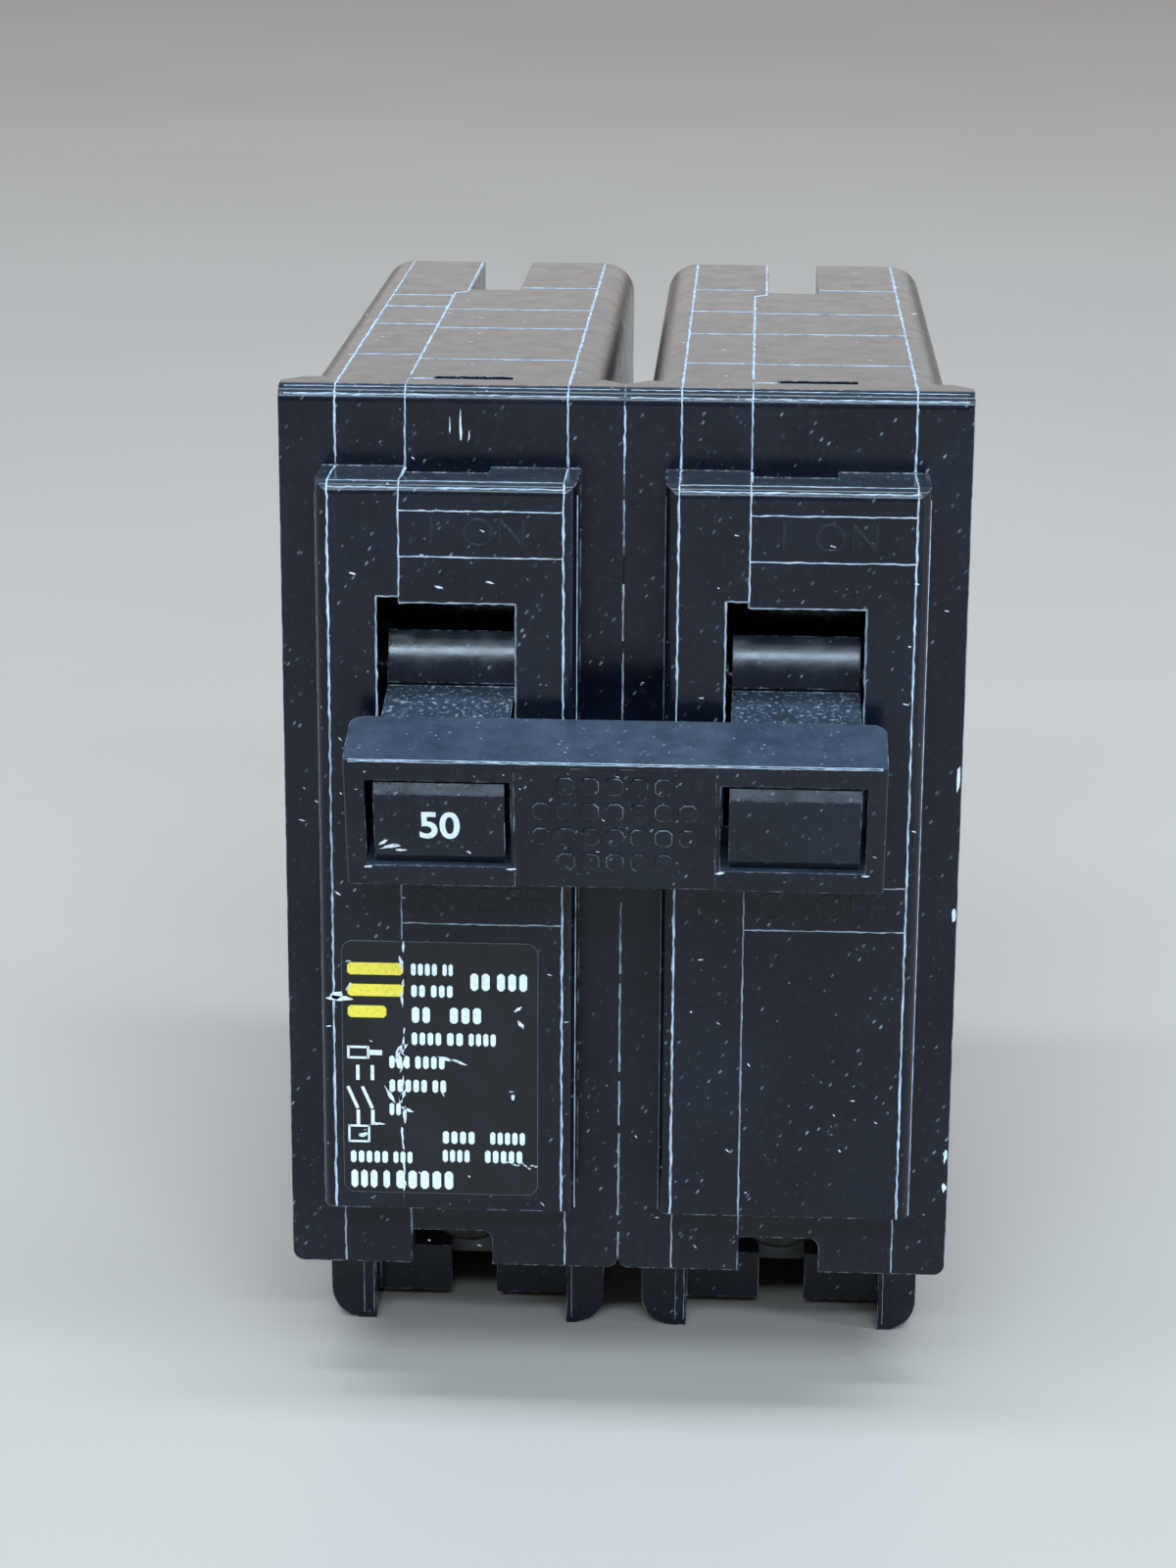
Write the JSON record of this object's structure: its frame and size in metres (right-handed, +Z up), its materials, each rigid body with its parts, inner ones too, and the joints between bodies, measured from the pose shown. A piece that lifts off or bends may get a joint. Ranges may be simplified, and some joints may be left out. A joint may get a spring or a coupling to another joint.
{
  "type": "circuit breaker",
  "caption": "Plug-on moulded-case circuit breaker with tied toggle handles, bus stab jaws, internal trip mechanism and load lugs.",
  "frame": {"origin": "centre of the bounding box at the load end, on the surface the breaker stands on", "axes": "+Z up to the line end, +X right, -Y towards the handles"},
  "size_m": [0.0508, 0.0782, 0.0795],
  "materials": {
    "case": "semi-gloss moulded phenolic, black, dusty and rubbed",
    "handle": "satin moulded phenolic, black",
    "tie": "satin moulded nylon, black",
    "trip_bar": "matte moulded, black",
    "label": "printed film, semi-gloss",
    "steel": "bright",
    "screw_steel": "dark plated",
    "rivet_steel": "plated",
    "zinc_steel": "zinc plated",
    "silver_alloy": "satin silver alloy",
    "copper": "bare copper",
    "tinned_copper": "tin plated copper",
    "bimetal": "rolled strip",
    "lug_aluminium": "tin plated aluminium"
  },
  "bodies": {
    "case": {"left_case_cover": "case", "left_case_base": "case", "left_fixed_contact": "silver_alloy", "left_line_strap": "copper", "left_line_jaw": "tinned_copper", "left_jaw_spring": "steel", "left_arc_plates": "zinc_steel", "left_toggle_spring": "steel", "left_magnet_yoke": "zinc_steel", "left_bimetal": "bimetal", "left_load_strap": "copper", "left_calibration_screw": "steel", "left_braid": "copper", "left_terminal_lug": "lug_aluminium", "right_case_cover": "case", "right_case_base": "case", "right_fixed_contact": "silver_alloy", "right_line_strap": "copper", "right_line_jaw": "tinned_copper", "right_jaw_spring": "steel", "right_arc_plates": "zinc_steel", "right_toggle_spring": "steel", "right_magnet_yoke": "zinc_steel", "right_bimetal": "bimetal", "right_load_strap": "copper", "right_calibration_screw": "steel", "right_braid": "copper", "right_terminal_lug": "lug_aluminium", "case_rivets": "rivet_steel", "rating_label": "label"},
    "handles": {"left_handle": "handle", "left_arm_pin": "steel", "right_handle": "handle", "right_arm_pin": "steel", "handle_tie": "tie"},
    "left_arm": {"left_contact_arm": "zinc_steel", "left_moving_contact": "silver_alloy"},
    "left_cradle": {"left_cradle": "zinc_steel"},
    "left_armature": {"left_armature": "zinc_steel"},
    "left_screw": {"left_lug_screw": "screw_steel"},
    "left_pad": {"left_pressure_pad": "steel"},
    "right_arm": {"right_contact_arm": "zinc_steel", "right_moving_contact": "silver_alloy"},
    "right_cradle": {"right_cradle": "zinc_steel"},
    "right_armature": {"right_armature": "zinc_steel"},
    "right_screw": {"right_lug_screw": "screw_steel"},
    "right_pad": {"right_pressure_pad": "steel"},
    "trip_bar": {"trip_bar": "trip_bar"}
  },
  "joints": [
    {"name": "handle_tilt", "type": "hinge", "parent": "case", "child": "handles", "pos_m": [0, -0.0164, 0.05585], "axis": [-1, 0, 0], "range_deg": [0, 29]},
    {"name": "left_contact_swing", "type": "hinge", "parent": "handles", "child": "left_arm", "pos_m": [-0.0127, -0.00962, 0.0576], "axis": [1, 0, 0], "range_deg": [0, 47.25], "deforming": ["left_toggle_spring", "left_braid"]},
    {"name": "left_cradle_turn", "type": "hinge", "parent": "case", "child": "left_cradle", "pos_m": [-0.0067, 0.0076, 0.07], "axis": [-1, 0, 0], "range_deg": [0, 20.05]},
    {"name": "left_armature_turn", "type": "hinge", "parent": "case", "child": "left_armature", "pos_m": [-0.0094, 0.0122, 0.046], "axis": [1, 0, 0], "range_deg": [0, 5.05]},
    {"name": "left_pad_slide", "type": "slide", "parent": "case", "child": "left_pad", "axis": [0, 1, 0], "range_m": [0, 0.005]},
    {"name": "left_lug_screw_turn", "type": "hinge", "parent": "left_pad", "child": "left_screw", "pos_m": [-0.0127, -0.0104, 0.0096], "axis": [0, 1, 0], "range_deg": [0, 1801]},
    {"name": "right_contact_swing", "type": "hinge", "parent": "handles", "child": "right_arm", "pos_m": [0.0127, -0.00962, 0.0576], "axis": [1, 0, 0], "range_deg": [0, 47.25], "deforming": ["right_toggle_spring", "right_braid"]},
    {"name": "right_cradle_turn", "type": "hinge", "parent": "case", "child": "right_cradle", "pos_m": [0.0187, 0.0076, 0.07], "axis": [-1, 0, 0], "range_deg": [0, 20.05]},
    {"name": "right_armature_turn", "type": "hinge", "parent": "case", "child": "right_armature", "pos_m": [0.016, 0.0122, 0.046], "axis": [1, 0, 0], "range_deg": [0, 5.05]},
    {"name": "right_pad_slide", "type": "slide", "parent": "case", "child": "right_pad", "axis": [0, 1, 0], "range_m": [0, 0.005]},
    {"name": "right_lug_screw_turn", "type": "hinge", "parent": "right_pad", "child": "right_screw", "pos_m": [0.0127, -0.0104, 0.0096], "axis": [0, 1, 0], "range_deg": [0, 1801]},
    {"name": "trip_bar_turn", "type": "hinge", "parent": "case", "child": "trip_bar", "pos_m": [0, 0.0041, 0.027], "axis": [1, 0, 0], "range_deg": [0, 10], "stiffness_Nm_per_rad": 0.01}
  ],
  "couplings": [
    {"joint": "left_contact_swing", "follows": "handle_tilt", "ratio": 1.6276},
    {"joint": "left_cradle_turn", "follows": "trip_bar_turn", "ratio": 2},
    {"joint": "left_armature_turn", "follows": "trip_bar_turn", "ratio": 0.5},
    {"joint": "left_lug_screw_turn", "follows": "left_pad_slide", "rad_per_m": 6283.2},
    {"joint": "right_contact_swing", "follows": "handle_tilt", "ratio": 1.6276},
    {"joint": "right_cradle_turn", "follows": "trip_bar_turn", "ratio": 2},
    {"joint": "right_armature_turn", "follows": "trip_bar_turn", "ratio": 0.5},
    {"joint": "right_lug_screw_turn", "follows": "right_pad_slide", "rad_per_m": 6283.2}
  ]
}
